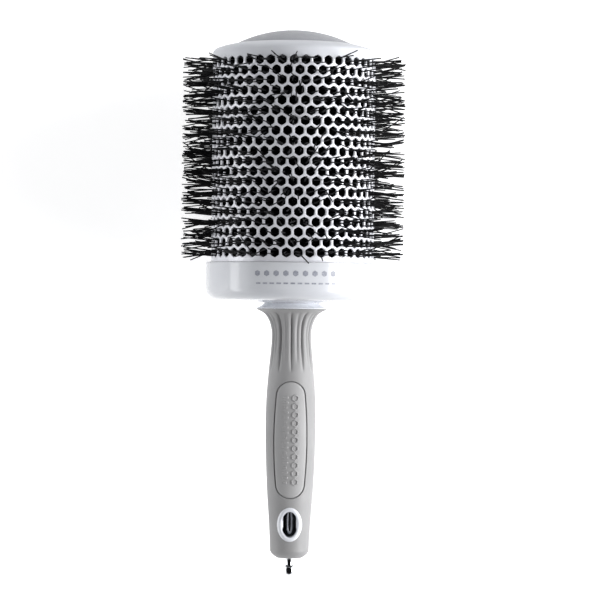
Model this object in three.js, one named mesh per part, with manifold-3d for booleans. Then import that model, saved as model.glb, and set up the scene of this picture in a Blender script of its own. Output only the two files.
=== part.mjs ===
// A large vented round hairbrush, lying on its bristles, in millimetres with +Z up.
//
// The brush's own axis is Y: the barrel points to +Y and the handle to -Y. Inside the brush group,
// y = 0 is the plane where the white neck boss meets the rim of the grey grip, and +Z is the front,
// the side with the oval window. A sectioning pin slides out of the handle's lower end.
import * as THREE from "three";
import { mergeVertices } from "three/addons/utils/BufferGeometryUtils.js";
import Module from "manifold-3d";

const wasm = await Module();
wasm.setup();

// ---------- driving dimensions, in millimetres ----------
const GAP = 0.35; // clearance between pieces that touch on the real brush

const BARREL_R = 40; // outside of the aluminium tube
const BARREL_WALL = 0.9;
const BARREL_BOTTOM = 13; // the tube's lower end, inside the collar
const BARREL_TOP = 125.4;
const VENT_COLUMNS = 44; // places for a vent around the tube, and flats of its outline
const VENT_FLATS = 4.2; // a vent's width across its upright flats
const BANDS = 10; // bristle bands, and rows of vents that they pass through
const FIRST_BAND = 27;
const BAND_PITCH = 9.75;
const BRISTLE_TIP_R = 55;
const TUFT_HALF_WIDTH = 0.45; // at a tuft's tip

const CAP_R = 29; // radius of the dome set into the top cap
const CAP_SHOULDER = 129.7; // where the dome starts
const CAP_TOP = 136.8;
const COLLAR_R = 42.4;
const COLLAR_TOP = 22.5;
const COLLAR_CORNER = 6; // radius of the collar's lower corner
const COLLAR_BOTTOM = 4;
const TENON_R = 8; // top end of the handle core, through boss and collar
const BOSS_TOP = 2.6;
const RIM_R = 17.6; // rim of the grip's flare

const WIRE_R = 0.9; // one of the two twisted core wires
const WIRE_PITCH = 17; // one turn of the twist
const WIRE_BOTTOM = -11;
const WIRE_TOP = 126;

const HANDLE_END = -123.2;
const HANDLE_SHOULDER = -119.6; // where the rounded lower end starts
const SHELL = 2.6; // wall of the grip
const FLUTES = 22; // grooves around the flare, deep and shallow in turn
const WINDOW_Y = -105.8;
const WINDOW = new THREE.Vector2(6.15, 8.4); // half sizes of the window's bezel
const BEZEL_WALL = 2.1;
const PANEL_TOP = -35.8;
const PANEL_BOTTOM = -92.9;
const PANEL_DEPTH = 1.2;

const PIN_R = 3.05;
const BORE_R = 3.4;
const CORE_TUBE_R = 5.3;
const BALL_R = 3.1;
const BALL_Y = -128.7;
const PIN_TIP = -49.5;
const RING_Y = -93.3; // middle of the O-ring in its groove
const RING_WIRE_R = 0.42;

const COLUMN_ANGLE = (2 * Math.PI) / VENT_COLUMNS;
const BALL_BOTTOM = BALL_Y - BALL_R;

// ---------- materials ----------
const material = (color, roughness, metalness = 0) =>
  new THREE.MeshStandardMaterial({ color, roughness, metalness });
const WHITE_PLASTIC = material(0xe9ebf1, 0.25);
const PEARL_GREY = material(0xc4c4cf, 0.35);
const CERAMIC = material(0xdfe0ea, 0.22, 0.3);
const GREY_RUBBER = material(0xa3a2a6, 0.7);
const DARK_PLASTIC = material(0x2b2b30, 0.5);
const BLACK_NYLON = material(0x0b0b0c, 0.45);
const BLACK_RUBBER = material(0x121212, 0.8);
const STEEL = material(0xb8babd, 0.3, 1);
const CHROME = material(0xe6e8ea, 0.06, 1);

// ---------- helpers ----------
const at = (r, y) => new THREE.Vector2(r, y);

// A closed geometry as a solid that can be cut and joined.
function solid(geometry) {
  const bare = geometry.clone();
  bare.deleteAttribute("normal");
  bare.deleteAttribute("uv");
  const merged = mergeVertices(bare, 1e-4);
  return new wasm.Manifold(
    new wasm.Mesh({
      numProp: 3,
      vertProperties: merged.attributes.position.array,
      triVerts: new Uint32Array(merged.index.array),
    }),
  );
}

function geometryOf(shape) {
  const cut = shape.getMesh();
  const geometry = new THREE.BufferGeometry();
  geometry.setAttribute("position", new THREE.BufferAttribute(cut.vertProperties, 3));
  geometry.setIndex(new THREE.BufferAttribute(cut.triVerts, 1));
  geometry.computeVertexNormals();
  return geometry;
}

// A profile of (radius, y) points turned about Y. It closes on itself or on the axis.
function turned(profile, segments = 44, phase = 0) {
  const onAxis = profile[0].x === 0 && profile.at(-1).x === 0;
  const outline = THREE.ShapeUtils.area(profile) > 0 ? [...profile] : [...profile].reverse();
  if (!onAxis) outline.push(outline[0].clone());
  return new THREE.LatheGeometry(outline, segments, phase);
}

// A flat outline extruded along Z from z0 to z1.
function slab(shape, z0, z1, curveSegments = 8) {
  const geometry = new THREE.ExtrudeGeometry(shape, {
    depth: z1 - z0,
    bevelEnabled: false,
    curveSegments,
  });
  return geometry.translate(0, 0, z0);
}

// Points along an arc about (r, y), from one angle to another in degrees.
function arc(r, y, radius, from, to, steps) {
  return Array.from({ length: steps + 1 }, (_, i) => {
    const angle = THREE.MathUtils.degToRad(from + ((to - from) * i) / steps);
    return at(r + radius * Math.cos(angle), y + radius * Math.sin(angle));
  });
}

function ellipse(halfWidth, halfHeight, y) {
  return new THREE.Shape().absellipse(0, y, halfWidth, halfHeight, 0, 2 * Math.PI);
}

function piece(name, geometry, look) {
  const mesh = new THREE.Mesh(geometry, look);
  mesh.name = name;
  return mesh;
}

// ---------- barrel ----------
// The vented tube. Each vent lies in one flat of its outline, and a cutter goes through both walls.
function barrelTube() {
  const inner = BARREL_R - BARREL_WALL;
  const wall = [
    at(BARREL_R, BARREL_BOTTOM),
    at(BARREL_R, BARREL_TOP),
    at(inner, BARREL_TOP),
    at(inner, BARREL_BOTTOM),
  ];
  const tube = solid(turned(wall, VENT_COLUMNS, COLUMN_ANGLE / 2));
  const corner = VENT_FLATS / Math.sqrt(3);
  const hexagon = new THREE.Shape(
    Array.from({ length: 6 }, (_, i) => {
      const angle = ((i + 0.5) * Math.PI) / 3;
      return at(corner * Math.cos(angle), corner * Math.sin(angle));
    }),
  );
  const vents = [];
  for (let band = 0; band < BANDS; band++) {
    for (let column = 1; column < VENT_COLUMNS / 2; column += 2) {
      const cutter = slab(hexagon, -BARREL_R - 1, BARREL_R + 1);
      cutter.rotateY(column * COLUMN_ANGLE);
      vents.push(solid(cutter.translate(0, FIRST_BAND + band * BAND_PITCH, 0)));
    }
  }
  return geometryOf(tube.subtract(wasm.Manifold.union(vents)));
}

// One band of bristle tufts: a hub around the core wires with a tapered tuft to every second column.
function bristleBand(y) {
  const hub = 5;
  const thickness = 1.2;
  const centre = at(0, 0);
  const outline = [];
  for (let column = 1; column < VENT_COLUMNS; column += 2) {
    const angle = column * COLUMN_ANGLE;
    outline.push(
      at(0, hub).rotateAround(centre, angle - COLUMN_ANGLE),
      at(TUFT_HALF_WIDTH, BRISTLE_TIP_R).rotateAround(centre, angle),
      at(-TUFT_HALF_WIDTH, BRISTLE_TIP_R).rotateAround(centre, angle),
    );
  }
  const star = new THREE.Shape(outline);
  const bore = new THREE.Path().absarc(0, 0, wireReach() + GAP, 0, 2 * Math.PI, true);
  star.holes.push(bore);
  const band = slab(star, -thickness / 2, thickness / 2, 6);
  return band.rotateX(Math.PI / 2).translate(0, y, 0);
}

// The two wires lie side by side and turn about the brush's axis.
const wireOffset = () => WIRE_R + GAP / 2;
const wireReach = () => wireOffset() + WIRE_R;

class Helix extends THREE.Curve {
  constructor(phase) {
    super();
    this.phase = phase;
  }
  getPoint(t, target = new THREE.Vector3()) {
    const y = THREE.MathUtils.lerp(WIRE_BOTTOM, WIRE_TOP, t);
    const angle = this.phase + (2 * Math.PI * (y - WIRE_BOTTOM)) / WIRE_PITCH;
    return target.set(wireOffset() * Math.cos(angle), y, wireOffset() * Math.sin(angle));
  }
}

function coreWire(phase) {
  const section = new THREE.Shape(
    Array.from({ length: 6 }, (_, i) => {
      const angle = (i * Math.PI) / 3;
      return at(WIRE_R * Math.cos(angle), WIRE_R * Math.sin(angle));
    }),
  );
  const steps = Math.round((8 * (WIRE_TOP - WIRE_BOTTOM)) / WIRE_PITCH);
  return new THREE.ExtrudeGeometry(section, { steps, extrudePath: new Helix(phase) });
}

// ---------- ends of the barrel ----------
const SOCKET_R = 3.7; // bore of the cap's hub, over the ferrule
const HUB_R = 6;
const HUB_BOTTOM = 119; // just above the last band
const RECESS_FLOOR = 128.2; // where the dome's disc lies
const PLATE_BOTTOM = 126.6; // underside of the cap's top plate
const LIP_BOTTOM = 124; // lower edge of the lip inside the tube
const LIP_WALL = 2;
const SEAM = 0.2; // between the tube's end and the cap

// White cap: a rounded shoulder, a short lip inside the tube and a hub for the wires' ferrule.
function topCap() {
  const lip = BARREL_R - BARREL_WALL - GAP;
  const shoulder = new THREE.CubicBezierCurve(
    at(BARREL_R, BARREL_TOP + SEAM),
    at(39.9, 127.2),
    at(36.4, 128.3),
    at(CAP_R + GAP, CAP_SHOULDER),
  );
  return turned([
    ...shoulder.getPoints(5),
    at(CAP_R + GAP, RECESS_FLOOR),
    at(SOCKET_R, RECESS_FLOOR),
    at(SOCKET_R, HUB_BOTTOM),
    at(HUB_R, HUB_BOTTOM),
    at(HUB_R, PLATE_BOTTOM),
    at(lip - LIP_WALL, PLATE_BOTTOM),
    at(lip - LIP_WALL, LIP_BOTTOM),
    at(lip, LIP_BOTTOM),
    at(lip, BARREL_TOP + SEAM),
  ]);
}

// Pearl-grey dome: part of a sphere over a flat disc, with a peg that centres it in the hub.
function capDome() {
  const rise = CAP_TOP - CAP_SHOULDER;
  const sphere = (CAP_R * CAP_R + rise * rise) / (2 * rise);
  const edge = THREE.MathUtils.radToDeg(Math.acos(CAP_R / sphere));
  const floor = RECESS_FLOOR + GAP;
  const pegR = SOCKET_R - GAP;
  const pegEnd = WIRE_TOP + 1.6;
  return turned([
    at(0, pegEnd),
    at(pegR, pegEnd),
    at(pegR, floor),
    at(CAP_R, floor),
    ...arc(0, CAP_TOP - sphere, sphere, edge, 90, 5).slice(0, -1),
    at(0, CAP_TOP),
  ]);
}

// Steel ferrule pressed on the wires' top end, inside the cap's hub.
function wireFerrule() {
  const outer = SOCKET_R - GAP;
  const inner = wireReach() + GAP;
  const bottom = HUB_BOTTOM + 0.4;
  const top = WIRE_TOP + 1;
  return turned([at(outer, bottom), at(outer, top), at(inner, top), at(inner, bottom)], 16);
}

const COLLAR_FLOOR = 7; // inner floor of the collar
const RING_GROOVE_R = 7; // bottom of the tenon's groove for the lock ring
const CONE_OUTER_R = 27; // the shallow cone under the collar
const BOSS_TOP_R = 13.4; // the boss narrows to this radius under the collar
const CONE_INNER_R = BOSS_TOP_R - 1;

// White collar: a cup with a ledge that the tube stands on, a flat ring below and a shallow cone.
function collar() {
  const bore = TENON_R + GAP;
  const socket = BARREL_R + GAP;
  const ledge = BARREL_BOTTOM - GAP;
  const corner = arc(
    COLLAR_R - COLLAR_CORNER,
    COLLAR_BOTTOM + COLLAR_CORNER,
    COLLAR_CORNER,
    0,
    -90,
    4,
  );
  return turned([
    at(COLLAR_R - 0.5, COLLAR_TOP),
    at(COLLAR_R, COLLAR_TOP - 0.5),
    ...corner,
    at(CONE_OUTER_R, COLLAR_BOTTOM),
    at(CONE_INNER_R, BOSS_TOP + GAP),
    at(bore, BOSS_TOP + GAP),
    at(bore, COLLAR_FLOOR),
    at(BARREL_R - 4, COLLAR_FLOOR),
    at(BARREL_R - 2.5, ledge),
    at(socket, ledge),
    at(socket, COLLAR_TOP),
  ]);
}

// White boss that carries the collar on the grip: a low ring with a hollowed side.
function neckBoss() {
  const bore = TENON_R + GAP;
  const side = new THREE.QuadraticBezierCurve(
    at(RIM_R, GAP / 2 + 0.2),
    at(15, 1),
    at(BOSS_TOP_R, BOSS_TOP),
  );
  return turned([at(bore, GAP / 2), at(RIM_R, GAP / 2), ...side.getPoints(3), at(bore, BOSS_TOP)]);
}

// Spring-steel ring, open on one side, in the tenon's groove above the collar's floor.
function lockRing() {
  const opening = 0.5; // half the opening's angle, in radians
  const inner = RING_GROOVE_R + GAP;
  const outer = 11.5;
  const shape = new THREE.Shape();
  shape.absarc(0, 0, outer, opening, 2 * Math.PI - opening, false);
  shape.absarc(0, 0, inner, 2 * Math.PI - opening, opening, true);
  const bottom = COLLAR_FLOOR + GAP;
  return slab(shape, 0, 1.2, 14).rotateX(-Math.PI / 2).translate(0, bottom, 0);
}

// ---------- handle ----------
// The grip's outside from the flare's rim to its lower shoulder, as (radius, y).
const GRIP_CURVE = new THREE.SplineCurve([
  at(RIM_R, -0.2),
  at(13, -3),
  at(10.3, -8.4),
  at(9.75, -16),
  at(10.8, -31),
  at(11.9, -45),
  at(12, -62),
  at(11.3, -85),
  at(9.95, -106),
  at(9.3, HANDLE_SHOULDER),
]);
const GRIP_STATIONS = 14;
const MOUTH_R = CORE_TUBE_R + GAP;

// The grip's outline moved out by some distance, closed at the axis.
function gripOutline(out = 0) {
  const side = GRIP_CURVE.getPoints(GRIP_STATIONS).map((p) => at(p.x + out, p.y));
  const end = new THREE.QuadraticBezierCurve(
    side.at(-1).clone(),
    at(8.7 + out, HANDLE_SHOULDER - 2),
    at(5 + out, HANDLE_END - out),
  );
  const bottom = end.getPoints(3).slice(1);
  return [at(0, side[0].y), ...side, ...bottom, at(0, bottom.at(-1).y)];
}

// How deep a groove is at height y: nothing at the rim, most in the throat, gone by the belly.
function fluteDepth(y, depth, start, end) {
  const t = (start - y) / (start - end);
  return t <= 0 || t >= 1 ? 0 : depth * Math.pow(Math.sin(Math.PI * Math.pow(t, 0.7)), 0.8);
}

function cutFlutes(geometry) {
  const position = geometry.attributes.position;
  for (let i = 0; i < position.count; i++) {
    const [x, y, z] = [position.getX(i), position.getY(i), position.getZ(i)];
    const r = Math.hypot(x, z);
    const step = Math.round((Math.atan2(x, z) * FLUTES) / Math.PI);
    if (r < 1 || step % 2 !== 0) continue;
    const depth = step % 4 === 0 ? fluteDepth(y, 1.1, -0.6, -35) : fluteDepth(y, 0.7, -0.6, -29);
    position.setX(i, (x * (r - depth)) / r);
    position.setZ(i, (z * (r - depth)) / r);
  }
  return geometry;
}

// Long oval of the inlaid panel, moved out by some distance.
function panelShape(out = 0) {
  const endR = 7 + out;
  const top = PANEL_TOP - 7;
  const bottom = PANEL_BOTTOM + 7;
  const middle = (top + bottom) / 2;
  const bulge = 9 + out;
  const shape = new THREE.Shape();
  shape.absarc(0, top, endR, 0, Math.PI, false);
  shape.quadraticCurveTo(-bulge, middle, -endR, bottom);
  shape.absarc(0, bottom, endR, Math.PI, 2 * Math.PI, false);
  shape.quadraticCurveTo(bulge, middle, endR, top);
  return shape;
}

// What lies between the grip's surface, moved by some distance, and the same less a depth.
function skin(out, depth) {
  return solid(turned(gripOutline(out))).subtract(solid(turned(gripOutline(out - depth))));
}

// Grey soft-touch shell: fluted flare, recesses for two panels, the window and the pin's mouth.
function handleGrip() {
  const outside = solid(cutFlutes(turned(gripOutline())));
  const neck = TENON_R + GAP;
  const cavityCurve = GRIP_CURVE.getPoints(GRIP_STATIONS)
    .filter((p) => p.y < -24 && p.y > HANDLE_SHOULDER + 4)
    .map((p) => at(p.x - SHELL, p.y));
  const cavity = solid(
    turned([
      at(0, 1),
      at(neck, 1),
      at(neck, TENON_END),
      ...cavityCurve,
      at(MOUTH_R, HANDLE_SHOULDER + 2.5),
      at(MOUTH_R, HANDLE_END - 1),
      at(0, HANDLE_END - 1),
    ]),
  );
  const recessDepth = PANEL_DEPTH + GAP;
  const recess = skin(2, 2 + recessDepth);
  const prism = panelShape(GAP);
  const windowHole = ellipse(WINDOW.x + GAP, WINDOW.y + GAP, WINDOW_Y);
  return geometryOf(
    outside
      .subtract(cavity)
      .subtract(recess.intersect(solid(slab(prism, 0, 20))))
      .subtract(recess.intersect(solid(slab(prism, -20, 0))))
      .subtract(solid(slab(windowHole, 0, 20))),
  );
}

// Inlaid panel: a slice of the grip's surface inside the long oval, set a little below it.
function gripPanel(front) {
  const prism = slab(panelShape(), front ? 0 : -20, front ? 20 : 0);
  return geometryOf(skin(-0.15, PANEL_DEPTH - 0.15).intersect(solid(prism)));
}

// White ring around the window: an upright oval tube from the core to just above the grip.
function windowBezel() {
  const rim = ellipse(WINDOW.x, WINDOW.y, WINDOW_Y);
  rim.holes.push(ellipse(WINDOW.x - BEZEL_WALL, WINDOW.y - BEZEL_WALL, WINDOW_Y));
  const above = 0.35;
  const tube = solid(slab(rim, CORE_TUBE_R + GAP, 20));
  return geometryOf(tube.intersect(solid(turned(gripOutline(above)))));
}

const CORE_TOP = 14;
const TENON_END = -20; // below it the core narrows to the tube around the pin's bore

// Dark core: a tenon with a hole for the wires above, a tube with the pin's bore below.
function handleCore() {
  const wireHole = wireReach() + GAP;
  const groove = COLLAR_FLOOR + GAP - 0.2;
  const grooveTop = groove + 1.6;
  const tubeEnd = HANDLE_END + 0.3;
  const body = solid(
    turned(
      [
        at(wireHole, CORE_TOP),
        at(TENON_R, CORE_TOP),
        at(TENON_R, grooveTop),
        at(RING_GROOVE_R, grooveTop),
        at(RING_GROOVE_R, groove),
        at(TENON_R, groove),
        at(TENON_R, TENON_END),
        at(CORE_TUBE_R, TENON_END - 2),
        at(CORE_TUBE_R, tubeEnd),
        at(BORE_R, tubeEnd),
        at(BORE_R, PIN_TIP + 3),
        at(0, PIN_TIP + 4.5),
        at(0, WIRE_BOTTOM - 1),
        at(wireHole, WIRE_BOTTOM - 1),
      ],
      28,
    ),
  );
  const slot = ellipse(
    WINDOW.x - BEZEL_WALL + 0.2,
    WINDOW.y - BEZEL_WALL + 0.2,
    WINDOW_Y,
  );
  return geometryOf(body.subtract(solid(slab(slot, 0, 20))));
}

// ---------- sectioning pin ----------
const PLUG_BOTTOM = -122.6; // the part of the pin that fills the handle's mouth
const PLUG_TOP = -119.5;
const NOSE_BOTTOM = -113.2; // rounded lower end of the pin's body, behind the window
const NOSE_TOP = -105.6;
const BODY_TOP = -90;
const POINT_SHOULDER = -85; // where the taper to the point starts

// Chrome pin: ball, waist, plug in the mouth, shank, body behind the window and a long point.
function sectioningPin() {
  const waist = 1.8;
  const shank = 1.6;
  const ballTop = THREE.MathUtils.radToDeg(Math.acos(waist / BALL_R));
  const flare = new THREE.QuadraticBezierCurve(
    at(waist, BALL_Y + BALL_R),
    at(waist + 0.2, PLUG_BOTTOM - 1),
    at(PIN_R, PLUG_BOTTOM),
  );
  const nose = new THREE.QuadraticBezierCurve(
    at(shank, NOSE_BOTTOM),
    at(PIN_R, NOSE_BOTTOM + 2.7),
    at(PIN_R, NOSE_TOP),
  );
  const ringFloor = PIN_R - 2 * RING_WIRE_R - 0.05;
  const ringRoom = 0.75; // half the groove's width
  return turned(
    [
      at(0, BALL_BOTTOM),
      ...arc(0, BALL_Y, BALL_R, -90, ballTop, 7).slice(1),
      ...flare.getPoints(3),
      at(PIN_R, PLUG_TOP),
      at(shank, PLUG_TOP + 1.3),
      ...nose.getPoints(4),
      at(PIN_R, RING_Y - ringRoom),
      at(ringFloor, RING_Y - ringRoom),
      at(ringFloor, RING_Y + ringRoom),
      at(PIN_R, RING_Y + ringRoom),
      at(PIN_R, BODY_TOP),
      at(1.7, POINT_SHOULDER),
      at(0.7, PIN_TIP - 1),
      at(0.4, PIN_TIP - 0.2),
      at(0, PIN_TIP),
    ],
    20,
  );
}

// Rubber ring in the pin's groove, which grips the bore.
function pinRing() {
  const middle = PIN_R - RING_WIRE_R + 0.2;
  const section = arc(middle, RING_Y, RING_WIRE_R, 0, 300, 5);
  return turned(section, 24);
}

// ---------- assembly ----------
const brush = new THREE.Group();
brush.add(
  piece("barrel_tube", barrelTube(), CERAMIC),
  piece("top_cap", topCap(), WHITE_PLASTIC),
  piece("cap_dome", capDome(), PEARL_GREY),
  piece("wire_ferrule", wireFerrule(), STEEL),
  piece("core_wire_a", coreWire(0), STEEL),
  piece("core_wire_b", coreWire(Math.PI), STEEL),
  piece("collar", collar(), WHITE_PLASTIC),
  piece("neck_boss", neckBoss(), WHITE_PLASTIC),
  piece("lock_ring", lockRing(), STEEL),
  piece("handle_core", handleCore(), DARK_PLASTIC),
  piece("handle_grip", handleGrip(), GREY_RUBBER),
  piece("grip_panel_front", gripPanel(true), GREY_RUBBER),
  piece("grip_panel_back", gripPanel(false), GREY_RUBBER),
  piece("window_bezel", windowBezel(), WHITE_PLASTIC),
  piece("sectioning_pin", sectioningPin(), CHROME),
  piece("pin_ring", pinRing(), BLACK_RUBBER),
);
for (let band = 0; band < BANDS; band++) {
  const name = `bristle_band_${String(band + 1).padStart(2, "0")}`;
  brush.add(piece(name, bristleBand(FIRST_BAND + band * BAND_PITCH), BLACK_NYLON));
}

// The brush lies with two bristle lines on the surface, and the origin is under its middle.
const lowestTuft = BRISTLE_TIP_R * Math.cos(COLUMN_ANGLE);
const tuftCorner = TUFT_HALF_WIDTH * Math.sin(COLUMN_ANGLE);
brush.position.set(0, -(CAP_TOP + BALL_BOTTOM) / 2, lowestTuft + tuftCorner);

const part = new THREE.Group();
part.add(brush);
export default part;
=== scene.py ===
"""Looks for a large vented round hairbrush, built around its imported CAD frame.

The brush lies on its bristles with its axis along Y. Shapes are worked out in millimetres in the
brush's own frame: r is the distance from its axis, y runs along it with 0 where the white neck
boss meets the rim of the grey grip, and +Z is the front, the side with the oval window.
"""

import math
import random

import bmesh
import bpy
import numpy as np
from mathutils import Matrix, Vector


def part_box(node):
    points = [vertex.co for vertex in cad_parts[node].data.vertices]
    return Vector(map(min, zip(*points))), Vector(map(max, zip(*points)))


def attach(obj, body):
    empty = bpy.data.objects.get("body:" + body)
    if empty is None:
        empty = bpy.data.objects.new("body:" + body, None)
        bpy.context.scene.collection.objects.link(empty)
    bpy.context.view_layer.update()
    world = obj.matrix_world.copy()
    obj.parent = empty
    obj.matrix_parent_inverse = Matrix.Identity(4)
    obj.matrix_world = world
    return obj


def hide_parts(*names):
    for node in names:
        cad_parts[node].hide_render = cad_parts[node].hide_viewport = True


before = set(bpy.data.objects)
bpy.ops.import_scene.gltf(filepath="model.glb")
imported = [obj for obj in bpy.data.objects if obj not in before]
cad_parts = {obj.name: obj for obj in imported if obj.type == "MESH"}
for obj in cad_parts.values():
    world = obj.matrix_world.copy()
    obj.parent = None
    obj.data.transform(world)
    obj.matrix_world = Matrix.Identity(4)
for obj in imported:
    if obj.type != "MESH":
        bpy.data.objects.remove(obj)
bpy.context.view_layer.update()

# ---------- the frame, and sizes taken from it ----------
MM = 0.001
CORE_TOP = 14
tube_low, tube_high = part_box("barrel_tube")
core_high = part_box("handle_core")[1]
AXIS_X, AXIS_Z = (tube_low[0] + tube_high[0]) / 2, (tube_low[2] + tube_high[2]) / 2
ORIGIN = np.array([AXIS_X, core_high[1] - CORE_TOP * MM, AXIS_Z])


def cad(node):
    """Lowest and highest corner of a CAD node, in millimetres in the brush's own frame."""
    return [(np.array(corner) - ORIGIN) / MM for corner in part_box(node)]


def middle_y(node):
    """Middle of a CAD node along the brush."""
    return float(sum(corner[1] for corner in cad(node)) / 2)


GAP = 0.35
BARREL_R = 40
BARREL_WALL = 0.9
BARREL_BOTTOM, BARREL_TOP = cad("barrel_tube")[0][1], cad("barrel_tube")[1][1]
BAND_NODES = sorted(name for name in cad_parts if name.startswith("bristle_band_"))
BAND_MIDDLES = [middle_y(name) for name in BAND_NODES]
ROW_PITCH = (BAND_MIDDLES[1] - BAND_MIDDLES[0]) / 2
ROWS = 2 * len(BAND_NODES)
TOP_ROW_Y = BAND_MIDDLES[0] + (ROWS - 1) * ROW_PITCH
COLUMNS = 44
COLUMN_ANGLE = 2 * math.pi / COLUMNS
VENT_FLATS = 4.4

TIP_R = 55
ROOT_R = 2.2  # the filaments leave the wires at this radius
TUFT_WEIGHTS = (9, 25, 34, 23, 9)  # how often a vent has 0, 1, 2, 3 or 4 filaments
LEAN, STRAY_LEAN = 0.06, 0.26  # usual slope of a filament within its tuft, and of one that strays
STRAY_SHARE = 0.12
WORN_SHARE = 0.06
WORN_TIP_R = (47, 54)
INNER_FILAMENTS = 230  # for each band, filaments that missed the vents

CAP_R = cad("cap_dome")[1][0]
CAP_TOP = cad("cap_dome")[1][1]
CAP_EDGE = cad("top_cap")[1][1]
CAP_FLOOR = CAP_EDGE - 1.5  # floor of the recess for the dome
CAP_PLATE = 126.6  # underside of the cap
CAP_LIP = 124  # lower edge of the cap's lip inside the tube
CAP_LIP_WALL = 2
HUB_R, SOCKET_R = 6, 3.7  # the cap's hub, and its bore for the ferrule
HUB_BOTTOM = 119

COLLAR_R = cad("collar")[1][0]
COLLAR_TOP = cad("collar")[1][1]
COLLAR_BOTTOM, COLLAR_FLOOR = 4, 7
CONE_OUTER_R = 27  # rim of the shallow cone under the collar
BOSS_TOP = cad("neck_boss")[1][1]
BOSS_TOP_R = 13.4  # the boss narrows to this radius under the collar
RIM_R = cad("handle_grip")[1][0]

TENON_R = cad("handle_core")[1][0]
TENON_END = -20
RING_GROOVE_R, RING_GROOVE_Y, RING_GROOVE_WIDTH = 7, 7.15, 1.6
CORE_TUBE_R = 5.3
BORE_R = 3.4

HANDLE_END = cad("handle_grip")[0][1]
HANDLE_SHOULDER = HANDLE_END + 3.6
FLUTES = 22
FLUTE_TOP = -1.6
LONG_FLUTE_END, SHORT_FLUTE_END = -31, -27
PANEL_BOTTOM, PANEL_TOP = cad("grip_panel_front")[0][1], cad("grip_panel_front")[1][1]
PANEL_END_R, PANEL_HALF_WIDTH = 7, 9
PANEL_DEPTH = 1.2
PANEL_DIP = 0.12  # how far the panel lies below the grip's surface
MARK_HEIGHT = 0.3  # top of the panels' relief above the grip's surface

WINDOW_Y = middle_y("window_bezel")
WINDOW_X = cad("window_bezel")[1][0]
WINDOW_HALF = cad("window_bezel")[1][1] - WINDOW_Y
WINDOW_POINTS = 72
BEZEL_WALL = 2.1
SKIRT_INSET = 1.6  # from the ring's outline to the skirt that lines the slot in the core
LEDGE_Z = 7.7  # height of the ledges beside the pin above the axis
PAINTED_SHADE_BELOW = 4.2  # height above the axis below which the slot's walls get the dark core material, as painted shade
WELL_BOTTOM = 1.6  # height of the skirt's lower edge above the axis
CUTTER_LOW, CUTTER_HIGH = 1, 14  # the window's cutters reach between these heights above the axis

PIN_R = 3.05
BALL_R = 3.1
BALL_Y = cad("sectioning_pin")[0][1] + BALL_R
WAIST_R, SHANK_R = 1.8, 1.3
PLUG_BOTTOM, PLUG_TOP = -122.6, -119.8  # the part of the pin that fills the handle's mouth
NOSE_BOTTOM, NOSE_TOP = -113, -105.2  # rounded lower end of the pin's body, behind the window
BODY_TOP, POINT_SHOULDER = -90, -85
PIN_TIP = cad("sectioning_pin")[1][1]
SEAL_Y = middle_y("pin_ring")
SEAL_WIRE_R = 0.42

WIRE_R = 0.9
WIRE_PITCH = 17
WIRE_HOLE_R = 2 * WIRE_R + GAP / 2 + GAP
WIRE_BOTTOM, WIRE_TOP = cad("core_wire_a")[0][1], cad("core_wire_a")[1][1]

random.seed(44)


# ---------- materials ----------
class Nodes:
    """A material's node tree, with its Principled shader and object coordinates."""

    def __init__(self, name):
        self.material = bpy.data.materials.new(name)
        self.material.use_nodes = True
        self.tree = self.material.node_tree
        self.shader = self.tree.nodes["Principled BSDF"]
        self.place = self.add("ShaderNodeTexCoord").outputs["Object"]

    def add(self, kind, **settings):
        node = self.tree.nodes.new(kind)
        for key, value in settings.items():
            setattr(node, key, value)
        return node

    def link(self, output, target):
        self.tree.links.new(output, target)

    def stretched(self, scale):
        mapping = self.add("ShaderNodeMapping")
        mapping.inputs["Scale"].default_value = scale
        self.link(self.place, mapping.inputs["Vector"])
        return mapping.outputs["Vector"]

    def noise(self, scale, detail=3, stretch=None):
        """Noise with features about 1 / scale metres across."""
        node = self.add("ShaderNodeTexNoise")
        node.inputs["Scale"].default_value = scale
        node.inputs["Detail"].default_value = detail
        self.link(self.stretched(stretch) if stretch else self.place, node.inputs["Vector"])
        return node.outputs["Fac"]

    def ramp(self, source, low, high, start=0.35, end=0.65):
        """A grey or colour ramp from low to high."""
        node = self.add("ShaderNodeValToRGB")
        for element, position, value in zip(node.color_ramp.elements, (start, end), (low, high)):
            element.position = position
            element.color = (*value, 1) if isinstance(value, tuple) else (value, value, value, 1)
        self.link(source, node.inputs["Fac"])
        return node.outputs["Color"]

    def bump(self, source, distance, strength=1.0, under=None):
        """Relief of some millimetres."""
        node = self.add("ShaderNodeBump")
        node.inputs["Strength"].default_value = strength
        node.inputs["Distance"].default_value = distance * MM
        self.link(source, node.inputs["Height"])
        if under:
            self.link(under, node.inputs["Normal"])
        return node.outputs["Normal"]

    def set(self, **values):
        for key, value in values.items():
            socket = self.shader.inputs[key.replace("_", " ")]
            if hasattr(value, "is_linked"):
                self.link(value, socket)
            else:
                socket.default_value = value
        return self.material


def white_plastic(name, shade, gloss):
    """White moulding, faintly uneven as injection mouldings are, from satin (0) to glossy (1)."""
    n = Nodes(name)
    low = (shade * 0.96, shade * 0.983, shade * 1.045)
    high = (shade * 1.025, shade * 1.046, shade * 1.1)
    orange_peel = n.bump(n.noise(420, 2), 0.012)
    return n.set(
        Base_Color=n.ramp(n.noise(45), low, high),
        Roughness=n.ramp(n.noise(160), 0.45 - 0.28 * gloss, 0.55 - 0.28 * gloss),
        Normal=n.bump(n.noise(5200, 2), 0.0015, under=orange_peel),
        Specular_IOR_Level=0.1 + 0.3 * gloss,
        Coat_Weight=0.4 * gloss,
        Coat_Roughness=0.06,
    )


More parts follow.
